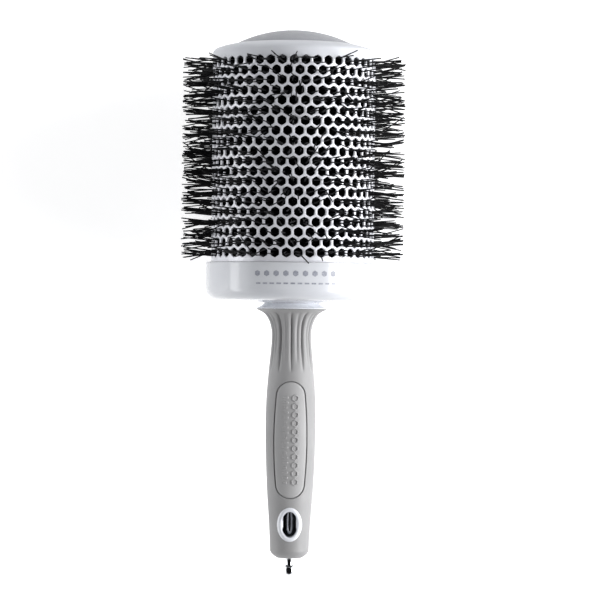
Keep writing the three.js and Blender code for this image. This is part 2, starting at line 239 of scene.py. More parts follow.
def dome_plastic():
    """Pearl-grey satin plastic with fine flakes."""
    n = Nodes("dome_plastic")
    flakes = n.ramp(n.noise(9000, 2), (0.25, 0.256, 0.277), (0.3, 0.306, 0.327), 0.4, 0.62)
    return n.set(
        Base_Color=flakes,
        Roughness=n.ramp(n.noise(300), 0.4, 0.5),
        Normal=n.bump(n.noise(6000, 2), 0.003),
        Specular_IOR_Level=0.12,
    )


def barrel_ceramic():
    """Aluminium under a pearl ceramic coat: cloudy lilac white with a fine sparkle."""
    n = Nodes("barrel_ceramic")
    clouds = n.noise(70, 4)
    sparkle = n.noise(8000, 1)
    mix = n.add("ShaderNodeMix", data_type="RGBA")
    mix.inputs["Factor"].default_value = 0.35
    n.link(n.ramp(clouds, (0.68, 0.687, 0.74), (0.78, 0.787, 0.83)), mix.inputs["A"])
    n.link(n.ramp(sparkle, (0.62, 0.625, 0.68), (0.84, 0.845, 0.89)), mix.inputs["B"])
    return n.set(
        Base_Color=mix.outputs["Result"],
        Metallic=0.08,
        Roughness=n.ramp(n.noise(600), 0.3, 0.42),
        Normal=n.bump(sparkle, 0.004, 0.8, under=n.bump(n.noise(380, 2), 0.01)),
        Coat_Weight=0.25,
        Coat_Roughness=0.15,
    )


def barrel_inside_painted_shade():
    """The tube's bare inner wall: aluminium painted near-black as shade, so the vents look dark inside,
    with drawing lines.
    """
    n = Nodes("barrel_inside_painted_shade")
    lines = n.noise(900, 2, (1, 0.02, 1))
    return n.set(
        Base_Color=n.ramp(lines, (0.012, 0.012, 0.014), (0.03, 0.03, 0.034)),
        Metallic=0.4,
        Roughness=n.ramp(lines, 0.45, 0.6),
        Normal=n.bump(lines, 0.01),
    )


def soft_rubber(name, shade):
    """Matte soft-touch rubber: a fine pebbled skin with slightly shinier patches where it is held."""
    n = Nodes(name)
    pebbles = n.noise(4200, 3)
    wear = n.ramp(n.noise(60, 4), 0.5, 0.64)
    low = (shade * 0.95, shade * 0.943, shade * 0.954)
    high = (shade * 1.05, shade * 1.043, shade * 1.054)
    tint = n.ramp(n.noise(35, 3), low, high)
    return n.set(
        Base_Color=tint,
        Roughness=wear,
        Normal=n.bump(pebbles, 0.02, 0.7),
        Specular_IOR_Level=0.36,
        Sheen_Weight=0.03,
        Sheen_Roughness=0.5,
    )


def core_plastic():
    """Dark moulded core with faint flow lines along the handle."""
    n = Nodes("core_plastic")
    flow = n.noise(500, 3, (1, 0.12, 1))
    return n.set(
        Base_Color=n.ramp(flow, (0.012, 0.012, 0.014), (0.024, 0.024, 0.027)),
        Roughness=n.ramp(flow, 0.34, 0.46),
        Normal=n.bump(flow, 0.01),
    )


def bristle_nylon():
    """Black drawn nylon: slightly waxy, with fine lengthwise streaks."""
    n = Nodes("bristle_nylon")
    streaks = n.noise(2600, 2)
    return n.set(
        Base_Color=n.ramp(streaks, (0.002, 0.002, 0.002), (0.007, 0.007, 0.008)),
        Roughness=n.ramp(streaks, 0.42, 0.6),
        Normal=n.bump(streaks, 0.01, 0.6),
        Specular_IOR_Level=0.18,
    )


def drawn_steel():
    """Drawn steel wire with die marks along it."""
    n = Nodes("drawn_steel")
    marks = n.noise(2200, 2, (1, 0.15, 1))
    return n.set(
        Base_Color=n.ramp(marks, (0.55, 0.55, 0.56), (0.72, 0.72, 0.73)),
        Metallic=1.0,
        Roughness=n.ramp(marks, 0.22, 0.4),
        Normal=n.bump(marks, 0.008),
    )


def pin_chrome():
    """Bright chrome with hair-fine polishing marks."""
    n = Nodes("pin_chrome")
    marks = n.noise(5000, 2, (1, 0.2, 1))
    return n.set(
        Base_Color=n.ramp(marks, (0.82, 0.83, 0.85), (0.9, 0.91, 0.93)),
        Metallic=1.0,
        Roughness=n.ramp(marks, 0.04, 0.1),
        Normal=n.bump(marks, 0.0008, 0.5),
    )


def seal_rubber():
    """Black rubber with a dull, talc-dusted skin."""
    n = Nodes("seal_rubber")
    dust = n.noise(3000, 3)
    return n.set(
        Base_Color=n.ramp(dust, (0.012, 0.012, 0.012), (0.035, 0.035, 0.034)),
        Roughness=n.ramp(dust, 0.65, 0.85),
        Normal=n.bump(dust, 0.01),
    )


def collar_ink():
    """Grey printing ink, thinner in places."""
    n = Nodes("collar_ink")
    cover = n.noise(1500, 3)
    return n.set(
        Base_Color=n.ramp(cover, (0.2, 0.21, 0.25), (0.3, 0.31, 0.35)),
        Roughness=n.ramp(cover, 0.3, 0.45),
        Normal=n.bump(cover, 0.003),
    )


def floor_paint():
    """Pale floor that glows a little, like a light table."""
    n = Nodes("floor_paint")
    return n.set(
        Base_Color=n.ramp(n.noise(6, 4), (0.93, 0.93, 0.935), (0.95, 0.95, 0.955)),
        Roughness=n.ramp(n.noise(20), 0.8, 0.95),
        Emission_Color=(1, 1, 1, 1),
        Emission_Strength=0.46,
    )


WHITE = white_plastic("collar_plastic", 0.53, 1)
PEARL = white_plastic("cap_plastic", 0.53, 0)
# a brighter copy of the white plastic: painted light that lifts the boss out of the collar's shadow
BOSS = white_plastic("boss_plastic_lit", 0.9, 0.8)
RING = white_plastic("ring_plastic", 0.62, 0.8)
DOME = dome_plastic()
CERAMIC = barrel_ceramic()
TUBE_INSIDE_SHADE = barrel_inside_painted_shade()
GRIP = soft_rubber("grip_rubber", 0.25)
PANEL = soft_rubber("panel_rubber", 0.295)
CORE = core_plastic()
NYLON = bristle_nylon()
STEEL = drawn_steel()
CHROME = pin_chrome()
SEAL = seal_rubber()
INK = collar_ink()


# ---------- helpers ----------
def shifted(faces, start):
    """The same faces for points that are numbered from start."""
    return [tuple(start + int(i) for i in face) for face in faces]


def closed_mesh(name, points, faces):
    """A mesh from points in the brush's own frame: joins points that meet, turns faces outward."""
    mesh = bpy.data.meshes.new(name)
    world = np.asarray(points, float) * MM + ORIGIN
    mesh.from_pydata(world.tolist(), [], shifted(faces, 0))
    weld = 0.002 * MM
    work = bmesh.new()
    work.from_mesh(mesh)
    bmesh.ops.remove_doubles(work, verts=work.verts, dist=weld)
    bmesh.ops.recalc_face_normals(work, faces=work.faces)
    work.to_mesh(mesh)
    work.free()
    return mesh


def linked(name, data):
    """A new object with its data, in the scene."""
    obj = bpy.data.objects.new(name, data)
    bpy.context.scene.collection.objects.link(obj)
    return obj


def smooth(obj, sharp=35):
    """Smooth shading, with hard edges where faces meet at more than sharp degrees."""
    obj.data.shade_smooth()
    obj.data.set_sharp_from_angle(angle=math.radians(sharp))


def piece(name, points, faces, material, body="brush", replaces=(), sharp=40):
    """A visible piece that rides on a body and may stand for CAD nodes."""
    obj = linked(name, closed_mesh(name, points, faces))
    obj.data.materials.append(material)
    smooth(obj, sharp)
    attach(obj, body)
    if replaces:
        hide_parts(*replaces)
    return obj


def tool(points, faces):
    """A closed body used only to cut or join."""
    return linked("tool", closed_mesh("tool", points, faces))


def cut(obj, cutter, operation="DIFFERENCE"):
    """Applies an exact boolean with cutter, which is then removed."""
    modifier = obj.modifiers.new("cut", "BOOLEAN")
    modifier.operation = operation
    modifier.solver = "EXACT"
    modifier.object = cutter
    depsgraph = bpy.context.evaluated_depsgraph_get()
    result = bpy.data.meshes.new_from_object(obj.evaluated_get(depsgraph))
    obj.modifiers.clear()
    obj.data = result
    bpy.data.objects.remove(cutter)


def grid_faces(rows, columns, close_rows=False, close_columns=True):
    """Quads between points numbered row by row."""
    faces = []
    for i in range(rows if close_rows else rows - 1):
        for j in range(columns if close_columns else columns - 1):
            a, b = i * columns, ((i + 1) % rows) * columns
            k = (j + 1) % columns
            faces.append((a + j, a + k, b + k, b + j))
    return faces


def prism_faces(count):
    """Sides and ends of a prism between two outlines of count points."""
    return grid_faces(2, count) + [tuple(range(count)), tuple(range(count, 2 * count))]


def around(profile, segments):
    """Points of a profile of (r, y) turned about the axis, row by row."""
    angles = np.arange(segments) * 2 * math.pi / segments
    return np.array([[(r * math.sin(t), y, r * math.cos(t)) for t in angles] for r, y in profile])


def turned(profile, segments):
    """A closed profile, or one that starts and ends on the axis, turned about the axis."""
    on_axis = profile[0][0] == 0 and profile[-1][0] == 0
    points = around(profile, segments).reshape(-1, 3)
    return points, grid_faces(len(profile), segments, close_rows=not on_axis)


def filleted(corners, steps):
    """A closed profile from corners (r, y, radius), each rounded by an arc of that radius."""
    outline = []
    for i, (r, y, radius) in enumerate(corners):
        if radius == 0:
            outline.append((r, y))
            continue
        here = Vector((r, y))
        before = (Vector(corners[i - 1][:2]) - here).normalized()
        after = (Vector(corners[(i + 1) % len(corners)][:2]) - here).normalized()
        half = before.angle(after) / 2
        reach = radius / math.tan(half)
        start, end = here + before * reach, here + after * reach
        centre = here + (before + after).normalized() * (radius / math.sin(half))
        for k in range(steps + 1):
            chord = start.lerp(end, k / steps) - centre
            outline.append(tuple(centre + chord.normalized() * radius))
    return outline


def curve(points, steps):
    """A Bezier curve through its first and last control point, as (r, y) points."""
    degree = len(points) - 1
    result = []
    for k in range(steps + 1):
        t = k / steps
        weights = [math.comb(degree, i) * t**i * (1 - t) ** (degree - i) for i in range(degree + 1)]
        result.append(tuple(sum(w * p[axis] for w, p in zip(weights, points)) for axis in (0, 1)))
    return result


def catmull(points, count):
    """A smooth curve through all points, with count steps in all."""
    controls = [np.array(p, float) for p in points]
    controls = [2 * controls[0] - controls[1], *controls, 2 * controls[-1] - controls[-2]]
    result = []
    spans = len(points) - 1
    for k in range(count + 1):
        u = k / count * spans
        i = min(int(u), spans - 1)
        t = u - i
        p0, p1, p2, p3 = controls[i : i + 4]
        bend = 2 * p0 - 5 * p1 + 4 * p2 - p3
        twist = 3 * p1 - p0 - 3 * p2 + p3
        result.append(tuple(0.5 * (2 * p1 + (p2 - p0) * t + bend * t**2 + twist * t**3)))
    return result


def radial(r, angle, y, across=0.0):
    """A point at a radius and angle from the front, moved sideways by some distance."""
    turn = angle + across / max(r, 1)
    return (r * math.sin(turn), y, r * math.cos(turn))


# ---------- barrel ----------
ROUND = 3  # steps along each side of a vent
RIM = 6 * ROUND  # points around a vent


def hexagon(flats, soften=0.0):
    """Points around an upright hexagon, its corners drawn in by soften times its size."""
    corner = flats / math.sqrt(3)
    points = []
    for side in range(6):
        a = math.pi / 3 * side + math.pi / 6
        b = a + math.pi / 3
        for k in range(ROUND):
            t = k / ROUND
            x = corner * ((1 - t) * math.cos(a) + t * math.cos(b))
            y = corner * ((1 - t) * math.sin(a) + t * math.sin(b))
            shrink = 1 - soften if k == 0 else 1
            points.append((x * shrink, y * shrink))
    return points


def row_shift(row):
    """The top row and every second row below it have a vent on the front line."""
    return 0.5 * ((ROWS - 1 - row) % 2)


def barrel():
    """The tube with all its vents: a ring of faces from each vent out to its share of the wall."""
    pitch = BARREL_R * COLUMN_ANGLE
    cell = [(x, y * ROW_PITCH / (pitch * math.sqrt(3) / 2)) for x, y in hexagon(pitch)]
    inner = BARREL_R - BARREL_WALL
    # from the outer skin, over the rounded edge of the coat and through the wall, to the inner skin
    rings = [
        (cell, BARREL_R),
        (hexagon(VENT_FLATS + 0.2, 0.02), BARREL_R),
        (hexagon(VENT_FLATS + 0.05, 0.04), BARREL_R - 0.06),
        (hexagon(VENT_FLATS, 0.05), BARREL_R - 0.25),
        (hexagon(VENT_FLATS, 0.05), inner),
        (cell, inner),
    ]
    points, faces = [], []

    def strip(line_a, line_b, radius_a, radius_b):
        """Faces between two lines of points round the tube."""
        start = len(points)
        points.extend(radial(radius_a, x / BARREL_R, y) for x, y in line_a)
        points.extend(radial(radius_b, x / BARREL_R, y) for x, y in line_b)
        faces.extend(shifted(grid_faces(2, len(line_a), close_columns=False), start))

    bottom_line, top_line = [], []
    for row in range(ROWS):
        y = BAND_MIDDLES[0] + row * ROW_PITCH
        for column in range(COLUMNS):
            x = (column + row_shift(row)) * pitch
            start = len(points)
            for outline, radius in rings:
                points.extend(radial(radius, (x + dx) / BARREL_R, y + dy) for dx, dy in outline)
            faces.extend(shifted(grid_faces(len(rings), RIM), start))
            if row == 0:
                bottom_line.extend((x + dx, y + dy) for dx, dy in cell[3 * ROUND : 5 * ROUND])
            if row == ROWS - 1:
                top_line.extend((x + dx, y + dy) for dx, dy in reversed(cell[1 : 2 * ROUND + 1]))
    for line, end in ((bottom_line, BARREL_BOTTOM), (top_line, BARREL_TOP)):
        line.append((line[0][0] + COLUMNS * pitch, line[0][1]))
        straight = [(x, end) for x, _ in line]
        strip(line, straight, BARREL_R, BARREL_R)
        strip(line, straight, inner, inner)
        strip(straight, straight, BARREL_R, inner)
    return piece("barrel", points, faces, CERAMIC, replaces=["barrel_tube"])


def paint_tube(tube):
    """Gives the tube's inner wall its near-black painted shade, and its plain margin beside the cap its
    own material.
    """
    tube.data.materials.append(TUBE_INSIDE_SHADE)
    tube.data.materials.append(PEARL)
    centres = np.empty(len(tube.data.polygons) * 3)
    tube.data.polygons.foreach_get("center", centres)
    offset = (centres.reshape(-1, 3) - ORIGIN) / MM
    inner = np.hypot(offset[:, 0], offset[:, 2]) < BARREL_R - BARREL_WALL + 0.05
    margin = offset[:, 1] > TOP_ROW_Y
    index = np.where(inner, 1, np.where(margin, 2, 0)).astype(np.int32)
    tube.data.polygons.foreach_set("material_index", index)


# ---------- bristles and wires ----------
def filament(path, radii, sides, points, faces):
    """Adds a closed round filament along a path of 3-D points."""
    path = [Vector(p) for p in path]
    start = len(points)
    for i, centre in enumerate(path):
        along = (path[min(i + 1, len(path) - 1)] - path[max(i - 1, 0)]).normalized()
        side = along.orthogonal() if i == 0 else side - along * side.dot(along)
        side = side.normalized()
        up = along.cross(side)
        for k in range(sides):
            angle = 2 * math.pi * k / sides
            offset = side * math.cos(angle) + up * math.sin(angle)
            points.append(tuple(centre + offset * radii[i]))
    ends = [tuple(reversed(range(sides))), tuple((len(path) - 1) * sides + k for k in range(sides))]
    faces.extend(shifted(grid_faces(len(path), sides) + ends, start))


def tuft(angle, y, points, faces):
    """The filaments through the vent at (angle, y): they spread a little and meet at the tips."""
    free = VENT_FLATS / 2 - 0.6  # how far a filament may be from the vent's middle
    slope, swing = random.gauss(0, 0.085), random.gauss(0, 0.06)  # of the whole tuft
    for _ in range(random.choices((0, 1, 2, 3, 4), TUFT_WEIGHTS)[0]):
        across, along = random.uniform(-free, free), random.uniform(-free, free)
        spread = STRAY_LEAN if random.random() < STRAY_SHARE else LEAN
        lean = slope + random.gauss(0, spread)
        side = swing + random.gauss(0, spread)
        closing = random.uniform(0.2, 0.9)  # how far it comes in to the tuft's middle at its tip
        tip = TIP_R - random.expovariate(2.2)
        if random.random() < WORN_SHARE:
            tip = random.uniform(*WORN_TIP_R)
        path = [
            radial(ROOT_R, angle, y + random.gauss(0, 3)),
            radial(BARREL_R - 2, angle, y + along, across),
        ]
        for t in (0.12, 0.4, 0.7, 1.0):
            out = (tip - BARREL_R) * t
            near = 1 - closing * t
            path.append(
                radial(BARREL_R + out, angle, y + along * near + lean * out, across * near + side * out)
            )
        base = random.uniform(0.3, 0.36)
        filament(path, [base, base, base, base, base * 0.96, base * 0.9], 5, points, faces)


def short_bristle(points, faces, low, high):
    """A filament that missed the vents and ends bent against the tube's inner wall."""
    angle = random.uniform(0, 2 * math.pi)
    y = random.uniform(low, high)
    end = BARREL_R - BARREL_WALL - random.uniform(0.6, 6)
    drift = random.gauss(0, 4)
    drift = min(max(y + drift, BARREL_BOTTOM + 0.6), CAP_LIP - 0.6) - y
    path = [
        radial(ROOT_R, angle, y),
        radial(end * 0.6, angle, y + drift * 0.4),
        radial(end, angle, y + drift, random.gauss(0, 2)),
    ]
    filament(path, [0.27, 0.27, 0.25], 4, points, faces)


def bristles():
    """One piece for each CAD band, with the filaments of its two rows of vents."""
    for band, node in enumerate(BAND_NODES):
        points, faces = [], []
        for row in (2 * band, 2 * band + 1):
            y = BAND_MIDDLES[0] + row * ROW_PITCH
            for column in range(COLUMNS):
                tuft((column + row_shift(row)) * COLUMN_ANGLE, y, points, faces)
        low = BAND_MIDDLES[band] - ROW_PITCH / 2
        for _ in range(INNER_FILAMENTS):
            short_bristle(points, faces, low, low + 2 * ROW_PITCH)
        points = [(x, y, max(z, -AXIS_Z / MM)) for x, y, z in points]
        name = f"bristles_{node[-2:]}"
        piece(name, points, faces, NYLON, replaces=[node], sharp=60)


def core_wires():
    """The two twisted wires, each a helix beside the brush's axis."""
    offset = WIRE_R + GAP / 2
    turns = (WIRE_TOP - WIRE_BOTTOM) / WIRE_PITCH
    steps = round(22 * turns)
    for name, phase in (("core_wire_a", math.pi / 2), ("core_wire_b", -math.pi / 2)):
        path = []
        for k in range(steps + 1):
            y = WIRE_BOTTOM + (WIRE_TOP - WIRE_BOTTOM) * k / steps
            path.append(radial(offset, phase - 2 * math.pi * turns * k / steps, y))
        points, faces = [], []
        filament(path, [WIRE_R] * len(path), 14, points, faces)
        piece(f"twisted_{name[5:]}", points, faces, STEEL, replaces=[name])


# ---------- cap and dome ----------
def cap():
    """The cap's rounded shoulder, its recess for the dome, its hub and its lip inside the tube."""
    lip = BARREL_R - BARREL_WALL - GAP
    start = BARREL_TOP + 0.02
    recess = CAP_R + 0.2
    profile = [
        *curve([(BARREL_R, start), (39.9, 127.2), (36.4, 128.3), (recess + 0.35, CAP_EDGE)], 22),
        (recess + 0.12, CAP_EDGE - 0.03),
        (recess, CAP_EDGE - 0.2),
        (recess, CAP_FLOOR),
        (SOCKET_R, CAP_FLOOR),
        (SOCKET_R, HUB_BOTTOM),
        (HUB_R, HUB_BOTTOM),
        (HUB_R, CAP_PLATE),
        (lip - CAP_LIP_WALL, CAP_PLATE),
        (lip - CAP_LIP_WALL, CAP_LIP),
        (lip, CAP_LIP),
        (lip, start),
    ]
    points, faces = turned(profile, 160)
    piece("cap", points, faces, PEARL, replaces=["top_cap"])


def dome():
    """Part of a sphere over a flat disc, with a peg that centres it in the cap's hub."""
    rise = CAP_TOP - CAP_EDGE
    sphere = (CAP_R**2 + rise**2) / (2 * rise)
    edge = math.acos(CAP_R / sphere)
    steps = 24
    top = []
    for k in range(1, steps):
        angle = edge + (math.pi / 2 - edge) * k / steps
        top.append((sphere * math.cos(angle), CAP_TOP - sphere + sphere * math.sin(angle)))
    peg_r, peg_end, floor = SOCKET_R - GAP, 127.6, CAP_FLOOR + GAP
    profile = [
        (0, peg_end),
        (peg_r, peg_end),
        (peg_r, floor),
        (CAP_R, floor),
        (CAP_R, CAP_EDGE - 0.25),
        (CAP_R - 0.1, CAP_EDGE - 0.05),
        *top,
        (0, CAP_TOP),
    ]
    points, faces = turned(profile, 160)
    piece("end_dome", points, faces, DOME, replaces=["cap_dome"])


# ---------- collar and boss ----------
def collar():
    """The cup that holds the tube, with a flat ring and a shallow cone underneath."""
    bore = TENON_R + GAP
    socket = BARREL_R + 0.2
    seat = BARREL_BOTTOM - GAP
    cone_top = BOSS_TOP + 0.04
    corners = [
        (COLLAR_R, COLLAR_TOP, 0.6),
        (COLLAR_R, COLLAR_BOTTOM, 5.8),
        (CONE_OUTER_R, COLLAR_BOTTOM, 4),
        (BOSS_TOP_R + 0.1, cone_top, 0.3),
        (bore, cone_top, 0),
        (bore, COLLAR_FLOOR, 0),
        (BARREL_R - 4, COLLAR_FLOOR, 0),
        (BARREL_R - 2.5, seat, 0),
        (socket, seat, 0),
        (socket, COLLAR_TOP, 0.25),
    ]
    points, faces = turned(filleted(corners, 9), 176)
    piece("collar_cup", points, faces, WHITE, replaces=["collar"])


def boss():
    """The white boss, which narrows from the grip's rim up to the collar."""
    bore = TENON_R + GAP
    side = curve([(RIM_R - 0.1, 0.25), (15, 1), (BOSS_TOP_R, BOSS_TOP)], 10)
    profile = [(bore, -0.1), (RIM_R - 0.3, -0.1), (RIM_R - 0.05, 0.1), *side, (bore, BOSS_TOP)]
    points, faces = turned(profile, 144)
    piece("boss", points, faces, BOSS, replaces=["neck_boss"])


def collar_print():
    """A generic printed band on the collar: a row of hexagons over a row of dashes."""
    points, faces = [], []

    def patch(outline):
        """One thin closed patch of ink."""
        start = len(points)
        for radius in (COLLAR_R + 0.01, COLLAR_R + 0.05):
            points.extend(radial(radius, x / COLLAR_R, y) for x, y in outline)
        faces.extend(shifted(prism_faces(len(outline)), start))

    hexagon_y, dash_y = 16.9, 11.7
    for k in range(9):
        middle = -17 + 4.7 * k
        patch([(middle + dx, hexagon_y + dy) for dx, dy in hexagon(2.6)])
    for k in range(12):
        left = -17.6 + 3.4 * k
        lower = [(left + along, dash_y) for along in (0, 1.1, 2.2)]
        patch(lower + [(x, dash_y + 0.8) for x, _ in reversed(lower)])
    piece("collar_marks", points, faces, INK, sharp=30)


# ---------- handle ----------
GRIP_SIDE = catmull(
    [
        (RIM_R, -0.2),
        (13, -3),
        (10.3, -8.4),
        (9.75, -16),
        (11.1, -31),
        (12.1, -45),
        (12.3, -62),
        (11.55, -85),
        (10.15, -106),
        (9.5, HANDLE_SHOULDER),
    ],
    260,
)


def grip_radius(y):
    """The grip's outside radius at y, from its rim down to its lower shoulder."""
    radii = [p[0] for p in reversed(GRIP_SIDE)]
    heights = [p[1] for p in reversed(GRIP_SIDE)]
    return np.interp(y, heights, radii)


def on_grip(x, y, height, front=True):
    """A point some height above the grip's surface, on its front or on its back."""
    z = math.sqrt(max((grip_radius(y) + height) ** 2 - x**2, 0))
    return (x, y, z) if front else (-x, y, -z)


def flute_depth(angle, y):
    """Depth of the grooves round the flare: every second one is long and deep."""
    wave = 0.5 + 0.5 * math.cos(FLUTES * angle)
    strong = round(angle * FLUTES / (2 * math.pi)) % 2 == 0
    groove = 0.55 * wave + 0.95 * wave**5 if strong else 0.5 * wave**2
    end = LONG_FLUTE_END if strong else SHORT_FLUTE_END
    t = (FLUTE_TOP - y) / (FLUTE_TOP - end)
    if t <= 0 or t >= 1:
        return 0
    return groove * math.sin(math.pi * t**0.6) ** 0.6


def panel_outline(out=0.0):
    """Points round the long oval of an inlaid panel, with the point of its spine behind each."""
    count = 26  # steps along each quarter of the outline
    end_r = PANEL_END_R + out
    bulge = PANEL_HALF_WIDTH + out
    top, bottom = PANEL_TOP - PANEL_END_R, PANEL_BOTTOM + PANEL_END_R
    middle = (top + bottom) / 2
    result = []
    for turn, spine, side, far in ((0, top, -1, bottom), (math.pi, bottom, 1, top)):
        for k in range(count):
            angle = turn + math.pi * k / count
            result.append(((end_r * math.cos(angle), spine + end_r * math.sin(angle)), spine))
        flank = curve([(side * end_r, spine), (side * bulge, middle), (side * end_r, far)], count)
        result.extend(((x, y), y) for x, y in flank[:-1])
    return result


def panel_solid(layers, front):
    """A closed slice of the grip's surface inside the panel's oval.

    layers lists (how far out the outline is, height above the grip, share of the way out from the
    spine) from the middle of the bottom, round the edge, to the middle of the top.
    """
    points = []
    for out, height, share in layers:
        for (x, y), spine in panel_outline(out):
            points.append(on_grip(x * share, spine + (y - spine) * share, height, front))
    return points, grid_faces(len(layers), len(panel_outline()))


def inward(height, shares):
    """Layers at one height, at several shares of the way out from the spine."""
    return [(0, height, share) for share in shares]


def panel_recess(front):
    """Cutter for the recess under a panel, with a soft edge at the grip's surface."""
    floor = -PANEL_DEPTH - GAP
    edge = [(0.22, floor, 1), (0.22, -0.3, 1), (0.3, -0.1, 1), (0.5, 0.02, 1), (1.6, 0.6, 1)]
    layers = inward(floor, (0, 0.25, 0.5, 0.75)) + edge + inward(2.2, (1, 0.75, 0.5, 0.25, 0))
    return tool(*panel_solid(layers, front))


def window_outline(inset):
    """Points round the oval window, some distance inside the ring's outline."""
    angles = [2 * math.pi * k / WINDOW_POINTS for k in range(WINDOW_POINTS)]
    half_width, half_height = WINDOW_X - inset, WINDOW_HALF - inset
    return [(half_width * math.cos(a), WINDOW_Y + half_height * math.sin(a)) for a in angles]


def window_cutter(inset):
    """Cutter through the front of the handle inside the window's outline."""
    outline = window_outline(inset)
    points = [(x, y, z) for z in (CUTTER_LOW, CUTTER_HIGH) for x, y in outline]
    return tool(points, prism_faces(WINDOW_POINTS))


def grip():
    """The soft-touch shell with its flutes, panel recesses and window."""
    segments = 352
    socket = TENON_R + GAP
    mouth = CORE_TUBE_R + GAP
    rim = [(socket, -1.2), (socket, -0.4), (socket + 0.2, -0.2)]
    edge = [(RIM_R - 0.25, -0.2), (RIM_R - 0.05, -0.32)]
    side = [p for p in GRIP_SIDE if p[1] < -0.5]
    foot = curve([side[-1], (8.7, HANDLE_SHOULDER - 2), (5.9, HANDLE_END + 0.25)], 12)[1:]
    inner = [(mouth, HANDLE_END + 0.5), (mouth, TENON_END - 1), (socket, TENON_END + 0.5)]
    profile = rim + edge + side + foot + inner
    points = around(profile, segments)
    for i, (r, y) in enumerate(profile):
        if r < TENON_R + 1 or y > FLUTE_TOP:
            continue
        for j in range(segments):
            angle = 2 * math.pi * j / segments
            points[i, j, ::2] *= (r - flute_depth(angle, y)) / r
    points = points.reshape(-1, 3)
    faces = grid_faces(len(profile), segments, close_rows=True)
    shell = piece("soft_grip", points, faces, GRIP, replaces=["handle_grip"])
    cut(shell, panel_recess(front=True))
    cut(shell, panel_recess(front=False))
    cut(shell, window_cutter(0.12))
    smooth(shell)


def bezel():
    """White ring round the window: a rounded lip on the grip and a smooth well inside, its lower walls
    painted dark as shade.
    """
    steps = 7
    section = [(0.2, -1.6), (0.2, -0.05), (0.0, 0.03)]
    for k in range(steps + 1):
        angle = math.pi * k / steps
        inset = BEZEL_WALL / 2 * (1 - math.cos(angle)) + 0.02
        section.append((inset, 0.12 + 0.45 * math.sin(angle)))
    points = []
    for inset, height in section:
        points.extend(on_grip(x, y, height) for x, y in window_outline(inset))
    points.extend((x, y, LEDGE_Z + 0.5) for x, y in window_outline(BEZEL_WALL))
    for z in (LEDGE_Z, PAINTED_SHADE_BELOW, WELL_BOTTOM):
        for x, y in window_outline(BEZEL_WALL + 0.1):
            upper = min(max((y - WINDOW_Y + 3.5) / 2, 0), 1)
            narrow = math.copysign(min(abs(x), PIN_R + 0.15), x)
            points.append((x + (narrow - x) * upper, y, z))
    outside = CORE_TUBE_R + GAP
    for inset, z in ((SKIRT_INSET, WELL_BOTTOM), (SKIRT_INSET, outside), (0.9, outside)):
        points.extend((x, y, z) for x, y in window_outline(inset))
    faces = grid_faces(len(points) // WINDOW_POINTS, WINDOW_POINTS, close_rows=True)
    ring = piece(
        "window_ring", points, faces, RING, replaces=["window_bezel"], sharp=50
    )
    # the well's lower walls take the near-black core material: painted shade in the deep slot
    ring.data.materials.append(CORE)
    for face in ring.data.polygons:
        if face.center[2] - AXIS_Z < PAINTED_SHADE_BELOW * MM:
            face.material_index = 1


def oval(length, width):
    """Points round a bar with rounded ends."""
    count = 16
    result = []
    for k in range(count):
        c, s = math.cos(2 * math.pi * k / count), math.sin(2 * math.pi * k / count)
        x = math.copysign(abs(c) ** 0.5, c) * length / 2
        y = math.copysign(abs(s) ** 0.5, s) * width / 2
        result.append((x, y))
    return result


def raised_marks(front):
    """Generic relief in two lines along a panel: hexagonal rings beside short bars."""
    points, faces = [], []
    middle = (PANEL_TOP + PANEL_BOTTOM) / 2
    outside = ((3.3, -0.5), (3.3, -0.1), (3.0, MARK_HEIGHT))
    inside = ((2.3, MARK_HEIGHT), (1.9, -0.1), (1.9, -0.5))
    ring_levels = outside + inside
    bar_levels = ((1, -0.5), (1, -0.1), (0.75, MARK_HEIGHT), (0, MARK_HEIGHT + 0.05))

    def place(x, y, layers, layer_faces):
        """One closed mark round (x, y) from layers of an outline and its height."""
        start = len(points)
        for outline, height in layers:
            points.extend(on_grip(x + dx, y + dy, height, front) for dx, dy in outline)
        faces.extend(shifted(layer_faces, start))

    ring_faces = grid_faces(len(ring_levels), RIM, close_rows=True)
    for k in range(11):
        layers = [(hexagon(flats), height) for flats, height in ring_levels]
        place(2.3, middle + (k - 5) * 4.1, layers, ring_faces)
    for k in range(18):
        bar = oval(1.6 if k % 3 == 0 else 3, 1.25)
        layers = [([(x * share, y * share) for x, y in bar], height) for share, height in bar_levels]
        bar_faces = grid_faces(len(bar_levels), len(bar)) + [tuple(range(len(bar)))]
        place(-2.4, middle + (k - 8.5) * 2.45, layers, bar_faces)
    return points, faces


def panels():
    """The inlaid panels: rounded edges, and low relief that the fingers feel."""
    for node, front in (("grip_panel_front", True), ("grip_panel_back", False)):
        floor = -PANEL_DEPTH
        edge = [
            (-0.12, floor, 1),
            (-0.12, -0.55, 1),
            (-0.2, -0.33, 1),
            (-0.42, -0.18, 1),
            (-0.8, -PANEL_DIP, 1),
        ]
        layers = inward(floor, (0, 0.5)) + edge + inward(-PANEL_DIP, (0.85, 0.7, 0.5, 0.25, 0))
        points, faces = panel_solid(layers, front)
        name = node.replace("grip_panel", "inlaid_panel")
        panel = piece(name, points, faces, PANEL, replaces=[node])
        cut(panel, tool(*raised_marks(front)), "UNION")
        smooth(panel)


